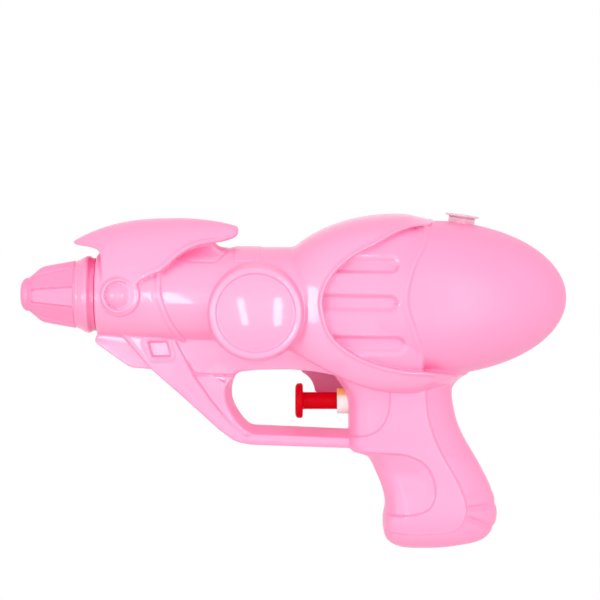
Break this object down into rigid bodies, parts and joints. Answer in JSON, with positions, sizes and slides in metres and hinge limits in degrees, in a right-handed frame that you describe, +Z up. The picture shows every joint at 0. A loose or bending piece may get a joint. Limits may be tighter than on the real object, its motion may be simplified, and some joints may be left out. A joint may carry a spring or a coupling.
{
  "type": "toy water squirter",
  "caption": "Hand-held toy water squirter in a ray-gun shape: moulded half shells form the tank and hold a trigger pump, ball valves, nozzle cap and filler plug.",
  "frame": {"origin": "centre of the object's length and width, at the height of the flat under the grip", "axes": "+Z up, +X from the nozzle to the back of the tank, +Y to the right-hand half"},
  "size_m": [0.1816, 0.044, 0.1125],
  "materials": {
    "shell_pink": "glossy moulded styrene, satin on the back of the tank",
    "trigger_red": "glossy moulded",
    "gland_amber": "translucent moulded",
    "milky_plastic": "natural moulded",
    "clear_vinyl": "soft translucent moulded",
    "hose_vinyl": "translucent extruded",
    "black_rubber": "matt moulded",
    "steel": "drawn or ground"
  },
  "bodies": {
    "body": {"left_shell": "shell_pink", "right_shell": "shell_pink", "nozzle_cap": "shell_pink", "nozzle_gasket": "black_rubber", "outlet_seat": "milky_plastic", "outlet_spring": "steel", "delivery_tube": "hose_vinyl", "suction_tube": "hose_vinyl", "pump_cylinder": "milky_plastic", "pump_gland": "gland_amber", "gland_washer": "black_rubber", "inlet_seat": "milky_plastic", "return_spring": "steel", "filler_neck": "clear_vinyl"},
    "trigger": {"trigger": "trigger_red", "piston": "milky_plastic", "piston_ring": "black_rubber"},
    "plug": {"filler_plug": "clear_vinyl"},
    "inlet_ball": {"inlet_ball": "steel"},
    "outlet_ball": {"outlet_ball": "steel"}
  },
  "joints": [
    {"name": "trigger_pull", "type": "slide", "parent": "body", "child": "trigger", "axis": [1, 0, 0], "range_m": [0, 0.011], "stiffness_N_per_m": 250, "springref_m": -0.012, "deforming": ["return_spring"]},
    {"name": "plug_lift", "type": "slide", "parent": "body", "child": "plug", "axis": [0.1392, 0, 0.9903], "range_m": [0, 0.012]},
    {"name": "inlet_ball_lift", "type": "slide", "parent": "body", "child": "inlet_ball", "axis": [0, 0, 1], "range_m": [0, 0.0009]},
    {"name": "outlet_ball_lift", "type": "slide", "parent": "body", "child": "outlet_ball", "axis": [-1, 0, 0], "range_m": [0, 0.0012], "stiffness_N_per_m": 15, "springref_m": -0.002, "deforming": ["outlet_spring"]}
  ]
}
